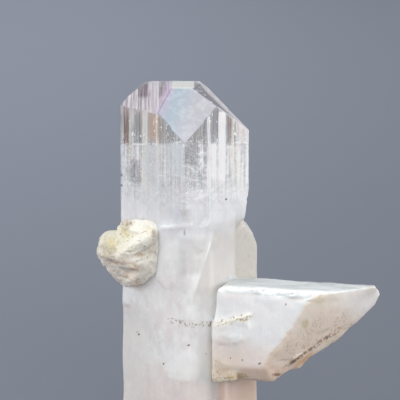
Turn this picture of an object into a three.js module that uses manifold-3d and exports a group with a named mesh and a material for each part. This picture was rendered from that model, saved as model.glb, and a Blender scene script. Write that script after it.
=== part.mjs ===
// Danburite: a clear, flat-topped prism on a milky stem, with a second crystal grown parallel
// behind it, a third that juts out to the right, and a stained lump of matrix on the left corner.
// Millimetres, +Z up. The front edge of the main prism faces -Y. The origin is the centre of the
// flat foot on the main prism's axis.
import * as THREE from 'three';
import { mergeVertices } from 'three/addons/utils/BufferGeometryUtils.js';
import { ConvexGeometry } from 'three/addons/geometries/ConvexGeometry.js';
import Module from 'manifold-3d';

const wasm = await Module();
wasm.setup();

// Danburite's cell edges in angstroms: they set the prism's section and the slope of the domes.
const CELL_A = 8.04;
const CELL_B = 8.75;
const CELL_C = 7.73;

// Main prism
const HALF_WIDTH = 8.0;
const HALF_DEPTH = (HALF_WIDTH * CELL_B) / CELL_A;
const TOP_Z = 45.92;
const PRISM_FOOT_Z = 25.0;
const FRONT_APEX_Z = 40.0;
const FRONT_DOME_TILT = THREE.MathUtils.radToDeg(Math.atan(CELL_C / CELL_B));
const RIGHT_APEX_Z = 40.35;
const RIGHT_DOME_TILT = 42.0;
const LEFT_APEX_Z = 43.75;
const LEFT_DOME_TILT = 36.6;
const BACK_APEX_Z = 42.0;

// Milky stem round the lower part of the prism
const STEM_GROWTH = 0.16;
const STEM_NOSE = [
  [-2.9, 0], [-1.9, 0.28], [-1.05, 0.62], [-0.3, 1.02], [0.4, 1.0], [1.2, 0.55], [2.1, 0.2], [3.1, 0],
];
const STEM_RIGHT_FLAT = 6.3;
const STEM_LEFT_FLAT = 7.75;
const PATCH_GROWTH = 0.26;

// Rear crystal, parallel to the main prism
const REAR_CENTRE = [5.2, 2.6];
const REAR_HALF_WIDTH = 3.95;
const REAR_TOP_Z = 30.0;

// Lower right crystal, under the side crystal
const LOWER_CENTRE = [5.1, -1.9];
const LOWER_HALF_WIDTH = 3.9;
const LOWER_TOP_Z = 12.0;

// Side crystal, lying along +X and dipping a little
const SIDE_START_X = 3.6;
const SIDE_TIP_X = 24.45;
const SIDE_DIP = 3.4;
const SIDE_PIVOT = [8.0, 0, 21.2];

// Clearance between the crystals and the lump of matrix
const MATRIX_GAP = 0.34;

const CUTTER = 160;
const UP = new THREE.Vector3(0, 0, 1);

function toSolid(geometry) {
  const plain = geometry.clone();
  plain.deleteAttribute('normal');
  plain.deleteAttribute('uv');
  const merged = mergeVertices(plain, 1e-5);
  return new wasm.Manifold(new wasm.Mesh({
    numProp: 3,
    vertProperties: new Float32Array(merged.attributes.position.array),
    triVerts: new Uint32Array(merged.index.array),
  }));
}

function toGeometry(solid) {
  const { vertProperties, triVerts } = solid.getMesh();
  const geometry = new THREE.BufferGeometry();
  geometry.setAttribute('position', new THREE.BufferAttribute(vertProperties, 3));
  geometry.setIndex(new THREE.BufferAttribute(triVerts, 1));
  geometry.computeVertexNormals();
  return geometry;
}

// Unit normal of a crystal face: azimuth runs from +X towards +Y, tilt runs down from +Z.
function faceNormal(azimuth, tilt) {
  const a = THREE.MathUtils.degToRad(azimuth);
  const t = THREE.MathUtils.degToRad(tilt);
  return new THREE.Vector3(Math.cos(a) * Math.sin(t), Math.sin(a) * Math.sin(t), Math.cos(t));
}

// Takes away all that lies outside a flat face through a point.
function cutFace(solid, azimuth, tilt, through) {
  const block = new THREE.BoxGeometry(CUTTER, CUTTER, CUTTER);
  block.translate(0, 0, CUTTER / 2);
  const turn = new THREE.Quaternion().setFromUnitVectors(UP, faceNormal(azimuth, tilt));
  block.applyQuaternion(turn);
  block.translate(...through);
  return solid.subtract(toSolid(block));
}

function extrudeUp(outline, fromZ, toZ) {
  const shape = new THREE.Shape(outline.map(([x, y]) => new THREE.Vector2(x, y)));
  const geometry = new THREE.ExtrudeGeometry(shape, { depth: toZ - fromZ, bevelEnabled: false });
  geometry.translate(0, 0, fromZ);
  return toSolid(geometry);
}

// A slab with an outline drawn in X and Z, reaching from one depth to another.
function extrudeBack(outline, fromY, toY) {
  const shape = new THREE.Shape(outline.map(([x, z]) => new THREE.Vector2(x, z)));
  const geometry = new THREE.ExtrudeGeometry(shape, { depth: toY - fromY, bevelEnabled: false });
  geometry.rotateX(Math.PI / 2);
  geometry.translate(0, toY, 0);
  return toSolid(geometry);
}

function hull(points) {
  return toSolid(new ConvexGeometry(points.map((p) => new THREE.Vector3(...p))));
}

// Rhombic section with the proportions of the {110} prism.
function rhombus(halfWidth, centre = [0, 0]) {
  const halfDepth = (halfWidth * CELL_B) / CELL_A;
  const [cx, cy] = centre;
  return [[cx + halfWidth, cy], [cx, cy + halfDepth], [cx - halfWidth, cy], [cx, cy - halfDepth]];
}

// Striations: along one side of the section, pairs of [share of the side, height of the ridge].
const STRIAE_FRONT_LEFT = [
  [0.0, 0], [0.2, -0.02], [0.225, -0.15], [0.385, -0.12], [0.415, 0.0], [0.565, 0.02],
  [0.59, -0.13], [0.655, -0.12], [0.675, -0.01], [0.76, 0.0], [0.785, -0.14], [0.8, -0.03],
  [0.815, -0.12], [0.85, -0.1], [0.87, 0.0], [0.93, -0.01], [0.945, -0.1],
];
const STRIAE_FRONT_RIGHT = [
  [0.0, 0], [0.3, -0.02], [0.325, -0.13], [0.37, -0.12], [0.385, 0.0], [0.41, 0.0],
  [0.43, -0.14], [0.52, -0.13], [0.54, 0.0], [0.625, 0.02], [0.645, -0.12], [0.72, -0.12],
  [0.735, -0.02], [0.76, -0.1], [0.79, -0.02], [0.81, -0.11], [0.83, 0.0], [0.94, -0.02],
];
const STRIAE_BACK = [
  [0.0, 0], [0.16, -0.02], [0.18, -0.12], [0.31, -0.1], [0.33, 0.0], [0.49, -0.01],
  [0.51, -0.13], [0.6, -0.11], [0.62, 0.0], [0.77, 0.0], [0.79, -0.12], [0.88, -0.1], [0.9, 0.0],
];

// One side of the section, from corner to corner, with its ridges pushed along the normal.
function striatedSide(from, to, striae) {
  const dx = to[0] - from[0];
  const dy = to[1] - from[1];
  const length = Math.hypot(dx, dy);
  const outX = dy / length;
  const outY = -dx / length;
  return striae.map(([share, height]) => [
    from[0] + dx * share + outX * height,
    from[1] + dy * share + outY * height,
  ]);
}

function mirrorStriae(striae) {
  const inner = striae.slice(1).map(([share, height]) => [1 - share, height]).reverse();
  return [[0, 0], ...inner];
}

function striatedRhombus(halfWidth) {
  const [right, back, left, front] = rhombus(halfWidth);
  return [
    ...striatedSide(front, right, STRIAE_FRONT_RIGHT),
    ...striatedSide(right, back, STRIAE_BACK),
    ...striatedSide(back, left, mirrorStriae(STRIAE_BACK)),
    ...striatedSide(left, front, mirrorStriae(STRIAE_FRONT_LEFT)),
  ];
}

// The six faces that close the clear head round the flat top.
function cutHead(prism) {
  let head = prism;
  head = cutFace(head, -90, FRONT_DOME_TILT, [0, -HALF_DEPTH, FRONT_APEX_Z]);
  head = cutFace(head, 0, RIGHT_DOME_TILT, [HALF_WIDTH, 0, RIGHT_APEX_Z]);
  head = cutFace(head, -12.3, 29.8, [1.0, -2.14, TOP_Z]);
  head = cutFace(head, 225.6, 38.8, [-3.125, -5.3, 43.1]);
  head = cutFace(head, 180, LEFT_DOME_TILT, [-HALF_WIDTH, 0, LEFT_APEX_Z]);
  head = cutFace(head, 90, FRONT_DOME_TILT, [0, HALF_DEPTH, BACK_APEX_Z]);
  return head;
}

// Small notches where flakes have come off the left and right corners.
function cutNotches(prism) {
  const notches = [
    [[-8.2, -0.2, 34.75], [0.9, 1.4, 0.35], 18],
    [[-8.15, 0.1, 33.3], [0.8, 1.2, 0.3], -14],
    [[8.2, 0.1, 31.6], [0.9, 1.5, 0.5], 12],
    [[0.0, -8.95, 33.4], [1.3, 0.9, 0.5], 20],
  ];
  let result = prism;
  for (const [centre, size, turn] of notches) {
    const chip = new THREE.BoxGeometry(...size);
    chip.rotateY(THREE.MathUtils.degToRad(turn));
    chip.translate(...centre);
    result = result.subtract(toSolid(chip));
  }
  return result;
}

function mainPrism() {
  let prism = extrudeUp(striatedRhombus(HALF_WIDTH), PRISM_FOOT_Z, TOP_Z);
  prism = cutHead(prism);
  prism = cutFace(prism, 0, 97.6, [HALF_WIDTH, 0, 33.1]);
  prism = cutFace(prism, 0, 132, [7.5, 0, 29.3]);
  prism = cutFace(prism, -90, 106, [0, -HALF_DEPTH, 33.2]);
  prism = cutFace(prism, -90, 150, [0, -7.7, 29.5]);
  return cutNotches(prism);
}

// The stem's section, grown outward by a given amount: a blunt nose takes the place of the front
// edge, and the left and right corners are cut flat.
function stemSection(growth) {
  const [right, back, left, front] = rhombus(HALF_WIDTH + growth * 1.36);
  const slope = CELL_B / CELL_A;
  const rightFlat = STEM_RIGHT_FLAT + growth * 0.4;
  const leftFlat = STEM_LEFT_FLAT + growth * 0.4;
  const atRight = (right[0] - rightFlat) * slope;
  const atLeft = (leftFlat + left[0]) * -slope;
  const nose = STEM_NOSE.map(([x, inset]) => [x, front[1] + slope * Math.abs(x) + inset]);
  return [
    ...nose, [rightFlat, -atRight], [rightFlat, atRight], back,
    [-leftFlat, atLeft], [-leftFlat, -atLeft],
  ];
}

// The milky stem: its upper rim steps up and down where growth stopped.
function milkyStem() {
  const body = extrudeUp(stemSection(STEM_GROWTH), 0, 40);
  const front = extrudeBack([
    [-12, 0], [12, 0], [12, 29.6], [7.2, 30.0], [5.2, 30.45], [3.2, 30.2], [1.1, 29.25],
    [0.2, 29.65], [-2.6, 29.4], [-3.2, 29.0], [-3.8, 28.5], [-12, 28.2],
  ], -14, 0);
  const back = extrudeBack([
    [-12, 0], [12, 0], [12, 27.4], [4.0, 28.2], [2.6, 31.0], [-1.2, 31.4], [-2.0, 28.8], [-12, 28.2],
  ], 0, 14);
  return body.intersect(front.add(back));
}

// Low plates that grew on the stem, each with an outline seen from the front.
const FRONT_PLATES = [
  [[-3.3, 28.9], [-3.6, 22.4], [-2.4, 21.5], [-1.4, 22.2], [0.3, 21.6], [1.1, 22.2], [1.7, 25.0],
    [2.6, 27.9], [3.0, 29.5], [-2.4, 29.4]],
  [[-8.4, 20.9], [-6.3, 20.4], [-6.6, 19.0], [-7.4, 18.1], [-8.4, 18.3]],
];
const BACK_PLATES = [
  [[-6.2, 24.6], [-2.2, 25.4], [-1.8, 17.0], [-3.6, 14.8], [-6.0, 16.2]],
  [[-0.6, 14.2], [2.2, 15.4], [3.0, 6.8], [1.2, 4.6], [-0.9, 6.0]],
];

function stemPlates() {
  const skin = extrudeUp(stemSection(PATCH_GROWTH), 0, 40);
  let plates = extrudeBack(FRONT_PLATES[0], -14, 0);
  for (const outline of FRONT_PLATES.slice(1)) {
    plates = plates.add(extrudeBack(outline, -14, 0));
  }
  for (const outline of BACK_PLATES) {
    plates = plates.add(extrudeBack(outline, 0, 14));
  }
  return skin.intersect(plates);
}

function rearCrystal() {
  let crystal = extrudeUp(rhombus(REAR_HALF_WIDTH, REAR_CENTRE), 0, REAR_TOP_Z);
  crystal = cutFace(crystal, 0, 53.7, [8.6, 0, 26.75]);
  crystal = cutFace(crystal, 0, 71.6, [8.6, 0, 26.75]);
  crystal = cutFace(crystal, -62, 48, [6.9, 0.3, 28.0]);
  return cutFace(crystal, 90, FRONT_DOME_TILT, [5.2, 6.6, 25.6]);
}

function lowerRightCrystal() {
  const outline = rhombus(LOWER_HALF_WIDTH, LOWER_CENTRE);
  return extrudeUp(outline, 0, LOWER_TOP_Z);
}

// The side crystal's section, drawn in Y and Z at the pivot.
const SIDE_SECTION = [
  [-7.5, 21.4], [-7.75, 11.8], [-6.7, 10.0], [0.4, 9.9], [2.6, 14.0], [2.3, 19.9], [-1.5, 21.87],
];

function sideCrystal() {
  const shape = new THREE.Shape(SIDE_SECTION.map(([y, z]) => new THREE.Vector2(y, z)));
  const geometry = new THREE.ExtrudeGeometry(shape, { depth: 26, bevelEnabled: false });
  const along = new THREE.Matrix4().set(0, 0, 1, 0, 1, 0, 0, 0, 0, 1, 0, 0, 0, 0, 0, 1);
  geometry.applyMatrix4(along);
  geometry.translate(SIDE_START_X - 1, 0, 0);
  geometry.translate(-SIDE_PIVOT[0], -SIDE_PIVOT[1], -SIDE_PIVOT[2]);
  geometry.rotateY(THREE.MathUtils.degToRad(SIDE_DIP));
  geometry.translate(...SIDE_PIVOT);
  let crystal = toSolid(geometry);
  crystal = cutFace(crystal, -81.9, 45.3, [8.0, -7.5, 21.4]);
  crystal = cutFace(crystal, -56.4, 107.2, [15.5, -7.5, 20.6]);
  crystal = cutFace(crystal, 29.8, 139.2, [22.4, -1.69, 16.9]);
  crystal = cutFace(crystal, 47.1, 152.9, [11.4, -6.3, 10.0]);
  crystal = cutFace(crystal, 0, 59, [SIDE_TIP_X - 0.55, 0, 20.6]);
  crystal = cutFace(crystal, 0, 118, [SIDE_TIP_X, 0, 19.6]);
  crystal = cutFace(crystal, 180, 90, [SIDE_START_X - 0.25, 0, 0]);
  return cutFace(crystal, 163.7, 81, [SIDE_START_X + 0.4, -7.5, 21.2]);
}

// Chips and blocks that cling to the root of the side crystal and to its lower edge.
function chips() {
  const whiteChip = hull([
    [3.3, -7.74, 17.2], [8.0, -7.7, 18.5], [8.1, -7.78, 16.3], [7.5, -7.84, 14.9],
    [6.4, -7.86, 14.6], [3.3, -7.82, 14.8],
    [3.3, -5.0, 17.2], [8.0, -5.0, 18.5], [7.5, -5.0, 14.9], [3.3, -4.6, 14.8],
  ]);
  const ledge = hull([
    [3.2, -7.74, 17.2], [5.4, -7.9, 17.75], [7.0, -7.9, 18.15], [8.2, -7.84, 18.65],
    [8.1, -7.7, 18.2], [3.4, -7.7, 16.7],
    [3.2, -5.4, 17.1], [5.2, -5.6, 17.6], [8.1, -6.0, 18.6],
  ]);
  const block = hull([
    [3.35, -7.4, 13.7], [6.4, -7.4, 13.9], [6.5, -7.6, 10.2], [3.5, -7.3, 9.8],
    [3.35, -3.0, 13.6], [6.5, -3.0, 13.8], [6.5, -3.0, 10.0], [3.5, -3.0, 9.8],
  ]);
  const edgeChip = hull([
    [13.4, -6.1, 12.7], [15.6, -5.0, 13.6], [15.4, -4.7, 12.2], [14.4, -4.9, 11.0],
    [13.2, -5.4, 10.9], [13.6, -3.8, 12.9], [15.2, -3.6, 13.4], [14.0, -3.9, 11.4],
  ]);
  return whiteChip.add(ledge).add(block).add(edgeChip);
}

function danburiteCrystals() {
  let solid = mainPrism().add(milkyStem()).add(stemPlates());
  solid = solid.add(rearCrystal()).add(lowerRightCrystal());
  solid = solid.add(sideCrystal()).add(chips());
  return solid;
}

// One rough knuckle of matrix: a ball drawn out to its radii, with a coarse uneven surface.
function knuckle(centre, radii, turn) {
  const geometry = new THREE.IcosahedronGeometry(1, 2);
  const position = geometry.attributes.position;
  const point = new THREE.Vector3();
  for (let i = 0; i < position.count; i += 1) {
    point.fromBufferAttribute(position, i);
    const wave = Math.sin(point.x * 5.1 + centre[0] * 3) * Math.cos(point.y * 4.3 + centre[2])
      + 0.6 * Math.sin(point.z * 7.7 + point.x * 3.1 + centre[2] * 2);
    point.multiplyScalar(1 + 0.09 * wave);
    position.setXYZ(i, point.x * radii[0], point.y * radii[1], point.z * radii[2]);
  }
  geometry.rotateY(THREE.MathUtils.degToRad(turn));
  geometry.translate(...centre);
  return toSolid(geometry);
}

// The angular blocks that make up the bulk of the lump.
const MATRIX_BLOCKS = [
  [
    [-10.85, -2.0, 26.4], [-10.9, -2.6, 25.2], [-10.15, -2.2, 23.7], [-10.6, -1.2, 27.0],
    [-9.8, -1.6, 27.85], [-8.9, -2.4, 28.0], [-9.5, -5.0, 27.1], [-9.7, -5.2, 25.2],
    [-8.3, -5.9, 26.6], [-7.6, -5.8, 24.4], [-10.1, 1.4, 26.5], [-9.7, 1.8, 24.9],
    [-8.4, 2.2, 27.2], [-8.2, 2.0, 23.6], [-6.6, -3.6, 27.6],
  ],
  [
    [-10.15, -2.4, 23.8], [-9.6, -2.6, 22.95], [-8.65, -2.4, 21.9], [-7.9, -2.6, 21.05],
    [-6.3, -3.4, 20.75], [-5.4, -4.6, 21.7], [-4.1, -5.6, 23.2], [-3.7, -5.9, 24.9],
    [-7.6, -6.2, 25.4], [-5.4, -6.9, 25.2], [-6.9, -6.2, 22.9], [-5.4, -6.6, 23.4],
    [-9.4, 0.8, 24.0], [-8.4, 1.0, 22.3], [-4.0, -4.0, 26.6], [-8.2, -3.2, 26.4],
  ],
  [
    [-3.65, -5.6, 29.1], [-4.15, -4.8, 29.9], [-6.1, -3.6, 29.55], [-7.6, -1.6, 29.35],
    [-8.4, -1.4, 28.4], [-8.2, -3.0, 27.6], [-3.7, -6.1, 27.6], [-4.6, -6.5, 28.6],
    [-6.2, -5.6, 28.6], [-5.6, -5.8, 25.6], [-3.7, -5.95, 25.0], [-7.6, 0.8, 28.6],
    [-4.2, -4.2, 26.0], [-8.0, 0.6, 27.0],
  ],
  [
    [-3.9, -6.5, 28.6], [-4.9, -6.9, 29.0], [-5.4, -7.4, 27.6], [-7.6, -6.8, 26.2],
    [-8.8, -6.0, 25.0], [-8.3, -5.6, 24.5], [-6.9, -6.3, 25.3], [-4.9, -6.7, 26.9],
    [-4.0, -5.0, 28.0], [-8.2, -4.2, 25.2], [-7.9, -5.0, 26.6], [-5.0, -5.2, 28.9],
  ],
];

function matrixLump() {
  let lump = hull(MATRIX_BLOCKS[0]);
  for (const block of MATRIX_BLOCKS.slice(1)) {
    lump = lump.add(hull(block));
  }
  lump = lump.add(knuckle([-7.2, -3.2, 29.0], [0.8, 0.9, 0.55], 0));
  lump = lump.add(knuckle([-9.5, -0.3, 25.6], [1.0, 1.6, 1.3], 0));
  lump = lump.add(knuckle([-8.5, 0.2, 23.6], [0.9, 1.4, 1.2], 0));
  const room = extrudeUp(rhombus(HALF_WIDTH + 1.36 * (PATCH_GROWTH + MATRIX_GAP)), 0, TOP_Z);
  return lump.subtract(room);
}

function node(name, solid, material) {
  const mesh = new THREE.Mesh(toGeometry(solid), material);
  mesh.name = name;
  return mesh;
}

const crystalMaterial = new THREE.MeshStandardMaterial({
  color: 0xd9d2d6,
  roughness: 0.22,
  metalness: 0,
  transparent: true,
  opacity: 0.85,
});
const matrixMaterial = new THREE.MeshStandardMaterial({
  color: 0xd8c6a4,
  roughness: 0.75,
  metalness: 0,
});

const specimen = new THREE.Group();
specimen.add(node('danburite_crystals', danburiteCrystals(), crystalMaterial));
specimen.add(node('matrix_lump', matrixLump(), matrixMaterial));

export default specimen;
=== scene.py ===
"""A danburite crystal: a clear striated head on a milky stem.

A side crystal and a lump of stained matrix have grown to it. All lengths are in
millimetres on the part's own axes, unless a name or comment says otherwise.
"""

import math
from functools import partial, reduce

import bmesh
import bpy
from mathutils import Euler, Matrix, Vector, noise


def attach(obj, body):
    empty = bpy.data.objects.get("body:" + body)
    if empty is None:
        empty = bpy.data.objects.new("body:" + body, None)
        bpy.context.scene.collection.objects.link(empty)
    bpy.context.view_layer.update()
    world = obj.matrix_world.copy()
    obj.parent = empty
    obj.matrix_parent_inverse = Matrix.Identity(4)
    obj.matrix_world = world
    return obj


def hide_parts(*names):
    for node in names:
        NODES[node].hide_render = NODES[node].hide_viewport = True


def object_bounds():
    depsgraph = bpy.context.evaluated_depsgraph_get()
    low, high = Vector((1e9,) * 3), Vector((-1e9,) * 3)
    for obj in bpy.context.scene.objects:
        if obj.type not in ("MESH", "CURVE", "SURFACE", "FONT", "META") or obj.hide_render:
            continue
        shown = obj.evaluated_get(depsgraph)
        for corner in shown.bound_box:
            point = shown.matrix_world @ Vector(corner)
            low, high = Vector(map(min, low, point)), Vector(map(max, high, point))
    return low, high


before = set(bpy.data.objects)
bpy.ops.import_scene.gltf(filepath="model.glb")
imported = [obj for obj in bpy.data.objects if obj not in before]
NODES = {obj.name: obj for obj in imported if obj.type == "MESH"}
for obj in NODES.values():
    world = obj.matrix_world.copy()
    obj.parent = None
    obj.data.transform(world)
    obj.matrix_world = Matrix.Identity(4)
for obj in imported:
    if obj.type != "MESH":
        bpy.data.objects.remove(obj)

CAD_LOW, CAD_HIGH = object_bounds()
MM = 0.001
TOP_Z = CAD_HIGH.z / MM

# Camera at the photograph's angle; its distance, aim and view width are in metres
CAMERA_DISTANCE = 0.35
CAMERA_ELEVATION = math.radians(10)
CAMERA_AIM = Vector((0.0019, 0.0, 0.0315))
VIEW_WIDTH = 0.05
SENSOR = 36.0

# The crystal turns from milky to clear between these heights above the foot
HAZE_LOW = 29.2
HAZE_HIGH = 35.0
# Below this height the mesh is fine enough to carry relief
DENSE_TOP = 31.8
GRID = 0.45
# Below this height the faces wear the stem's material
STEM_TOP = 26.1
EDGE_ROUNDING = 0.09
# The healed fractures rise towards the front by this much for each millimetre
FRACTURE_SLOPE = 0.176
# Tolerances: vertices that are one, points on a cutting plane, slivers between two cuts
WELD, ON_PLANE, SLIVER = 1e-4, 1e-5, 0.02
# Higher than anything, so that a whole mesh is shaded smooth
EVERYWHERE = 100.0


# ---------------------------------------------------------------- meshes
def node_bmesh(node):
    """A welded copy of a CAD node's mesh, in millimetres."""
    bm = bmesh.new()
    bm.from_mesh(NODES[node].data)
    bmesh.ops.scale(bm, vec=(1 / MM,) * 3, verts=bm.verts)
    bmesh.ops.remove_doubles(bm, verts=bm.verts, dist=WELD)
    return bm


def add_object(name, bm, smooth_below=None):
    """Makes a scene object from a mesh in millimetres, smooth below a height."""
    bmesh.ops.scale(bm, vec=(MM,) * 3, verts=bm.verts)
    mesh = bpy.data.meshes.new(name)
    bm.to_mesh(mesh)
    bm.free()
    if smooth_below is not None:
        flags = [p.center.z < smooth_below * MM for p in mesh.polygons]
        mesh.polygons.foreach_set("use_smooth", flags)
    obj = bpy.data.objects.new(name, mesh)
    bpy.context.scene.collection.objects.link(obj)
    return obj


def cut_grid(bm, top, pitch):
    """Cuts everything below a height into a fine grid that stays on the CAD surface."""
    layer = bm.faces.layers.int.new("dense")
    everything = bm.verts[:] + bm.edges[:] + bm.faces[:]
    bmesh.ops.bisect_plane(bm, geom=everything, plane_co=(0, 0, top), plane_no=(0, 0, 1))
    for face in bm.faces:
        face[layer] = int(face.calc_center_median().z < top)
    low, high = CAD_LOW / MM, CAD_HIGH / MM
    spans = (((0, 0, 1), 0.0, top), ((1, 0, 0), low.x, high.x), ((0, 1, 0), low.y, high.y))
    for normal, start, end in spans:
        direction = Vector(normal)
        for k in range(1, int((end - start) / pitch)):
            point = direction * (start + k * pitch)
            faces = [f for f in bm.faces if f[layer]]
            edges = {e for f in faces for e in f.edges}
            verts = {v for e in edges for v in e.verts}
            geom = list(verts) + list(edges) + faces
            bmesh.ops.bisect_plane(bm, geom=geom, dist=ON_PLANE, plane_co=point, plane_no=normal)
    bmesh.ops.remove_doubles(bm, verts=bm.verts, dist=SLIVER)
    faces = [f for f in bm.faces if len(f.verts) > 4]
    bmesh.ops.triangulate(bm, faces=faces)


def smoothstep(low, high, value):
    t = min(1.0, max(0.0, (value - low) / (high - low)))
    return t * t * (3 - 2 * t)


def fbm(x, y, z, octaves=3):
    return noise.fractal(Vector((x, y, z)), 1.0, 2.0, octaves)


def rim_ridge(p):
    """The raised rim where the stem's front nose ends under the clear prism."""
    rise = 29.45 + 0.13 * (p.x + 1.0)
    span = smoothstep(-3.1, -2.5, p.x) * smoothstep(1.2, 0.7, p.x) * smoothstep(-4.5, -5.5, p.y)
    return 0.16 * span * math.exp(-(((p.z - rise) / 0.20) ** 2))


def heart_plate(p):
    """A thin overgrown plate low on the stem's nose."""
    away = math.hypot(p.x / 2.4, (p.z - 11.9) / 1.7) + 0.25 * fbm(p.x / 1.1, 2.0, p.z / 1.1, 2)
    return 0.06 * smoothstep(1.08, 0.92, away) * smoothstep(-4.0, -5.0, p.y)


def edge_chips(p):
    """Small scars along the side crystal's upper front edge."""
    along = smoothstep(6.0, 9.0, p.x) * smoothstep(-6.2, -6.8, p.y) * smoothstep(19.4, 20.2, p.z)
    return -0.24 * along * smoothstep(0.02, 0.35, fbm(p.x / 1.1 + 7, p.y / 0.6, p.z / 0.5, 3))


def milky_relief(p):
    """How far the milky surface stands out from the flat crystal face, in millimetres."""
    broad = 0.10 * fbm(p.x / 3.1 + 5, p.y / 3.1, p.z / 4.5)
    if p.x > 9.5:
        grown = 0.05 * fbm(p.x / 5.0, p.y / 0.9, p.z / 0.9 + 9)
    else:
        grown = 0.05 * fbm(p.x / 0.9, p.y / 0.9, p.z / 5.0)
    pits = -0.16 * smoothstep(0.42, 0.8, fbm(p.x / 0.9 + 31, p.y / 0.9, p.z / 1.1, 2))
    pits *= smoothstep(1.2, 2.2, math.hypot(p.x, p.z - 29.2))
    chip = smoothstep(1.0, 0.6, math.hypot((p.x - 6.3) / 2.6, (p.z - 16.6) / 2.0))
    crumbs = chip * smoothstep(-6.4, -7.0, p.y) * 0.45 * abs(fbm(p.x / 0.7, 1.0, p.z / 0.7, 2))
    return broad + grown + pits + crumbs + rim_ridge(p) + heart_plate(p) + edge_chips(p)


# Places where a step in the crystal is overgrown: centre, reach, number of passes
OVERGROWN = (
    ((0.0, -7.9, 29.5), 2.4, 16),
    ((4.8, -4.0, 30.3), 2.8, 12),
    ((6.6, -7.7, 15.0), 2.0, 12),
    ((-1.5, -8.3, 22.0), 2.6, 10),
    ((3.4, -7.2, 19.2), 1.9, 14),
    ((3.4, -7.2, 16.6), 1.9, 14),
    ((3.4, -7.2, 14.0), 1.9, 14),
    ((3.4, -7.2, 11.6), 1.7, 14),
)


SOFTENING = 0.6


def soften(verts, centre, reach, passes):
    """Evens out the surface round a point."""
    middle = Vector(centre)
    near = [(v, 1 - (v.co - middle).length / reach) for v in verts]
    near = [(v, smoothstep(0.0, 0.5, share)) for v, share in near if share > 0]
    for _ in range(passes):
        moved = []
        for v, share in near:
            ring = [e.other_vert(v).co for e in v.link_edges]
            moved.append(v.co.lerp(sum(ring, Vector()) / len(ring), SOFTENING * share))
        for (v, _share), co in zip(near, moved):
            v.co = co


# The wear of the milky part: how often and how far its edges are evened out, and the height
# over the foot where its relief is full, so that the foot stays flat
WEAR_PASSES = 3
WEAR_SHARE = 0.35
FOOT_FADE = 0.8


def wear_milky(bm):
    """Softens the edges of the milky part and gives its faces a waxy, uneven surface."""
    lower = [v for v in bm.verts if 0.02 < v.co.z < DENSE_TOP - 0.2]
    for _ in range(WEAR_PASSES):
        moved = {}
        for v in lower:
            near = [e.other_vert(v).co for e in v.link_edges]
            mean = sum(near, Vector()) / len(near)
            share = WEAR_SHARE * smoothstep(DENSE_TOP, HAZE_LOW - 1, v.co.z)
            moved[v] = v.co.lerp(mean, share)
        for v, co in moved.items():
            v.co = co
    for centre, reach, passes in OVERGROWN:
        soften(lower, centre, reach, passes)
    bm.normal_update()
    for v in lower:
        fade = 1 - smoothstep(HAZE_LOW, DENSE_TOP - 0.4, v.co.z)
        fade *= smoothstep(0.0, FOOT_FADE, v.co.z)
        v.co += v.normal * (milky_relief(v.co) * fade)


LONG_EDGE = 1.6
SHARP_ANGLE = math.radians(14)
FLAT_ANGLE = math.radians(0.5)


def round_head_edges(bm):
    """Takes the razor edge off the head's long edges, so that they catch the light."""
    sharp = []
    for edge in bm.edges:
        top = max(v.co.z for v in edge.verts)
        if len(edge.link_faces) != 2 or top < HAZE_HIGH or edge.calc_length() < LONG_EDGE:
            continue
        if edge.calc_face_angle() > SHARP_ANGLE and edge.is_convex:
            sharp.append(edge)
    bmesh.ops.bevel(
        bm, geom=sharp, offset=EDGE_ROUNDING, segments=2, affect="EDGES", clamp_overlap=True
    )


def make_crystals():
    bm = node_bmesh("danburite_crystals")
    bmesh.ops.dissolve_limit(bm, angle_limit=FLAT_ANGLE, verts=bm.verts, edges=bm.edges)
    round_head_edges(bm)
    cut_grid(bm, DENSE_TOP, GRID)
    wear_milky(bm)
    obj = add_object("danburite", bm, smooth_below=DENSE_TOP)
    for polygon in obj.data.polygons:
        polygon.material_index = int(polygon.center.z < STEM_TOP * MM)
    return obj


# ---------------------------------------------------------------- inside the clear head
# Half the prism's diagonals, which its section is drawn from
HALF_WIDTH, HALF_DEPTH = 8.0, 8.706
# The cloud: how far it keeps from the prism's faces, its foot, the usual height of its top,
# and how much lower its top starts at the rim
CLOUD_INSET = 1.0
CLOUD_FOOT = 28.5
CLOUD_TOP = 32.6
CLOUD_RIM = 0.6
AROUND, LEVELS, RINGS = 144, 26, 18
# Sheets stay within this share of the way from the axis to the faces
SHEET_REACH = 0.93
FRACTURE_THICKNESS = 0.05
STREAK_THICKNESS = 0.04
STREAK_WAVE = 0.05


def section_radius(angle, inset):
    """Distance from the axis to the prism's faces, less an inset, at an angle round the axis."""
    reach = abs(math.cos(angle)) / (HALF_WIDTH - inset) + abs(math.sin(angle)) / (HALF_DEPTH - inset)
    return 1 / reach


def cloud_height(x, y):
    """The ragged top of the milky cloud inside the prism."""
    tufts = 1.5 * fbm(x / 1.6 + 4, y / 1.6, 2.0, 3) + 1.1 * abs(fbm(x / 0.6, y / 0.6, 9.0, 2))
    rise = 3.4 * math.exp(-(((x - 3.9) / 1.3) ** 2) - ((y + 1.5) / 2.4) ** 2)
    lift = 1.2 * math.exp(-(((x + 5.5) / 2.0) ** 2) - (y / 4.0) ** 2)
    return CLOUD_TOP + tufts + rise + lift


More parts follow.
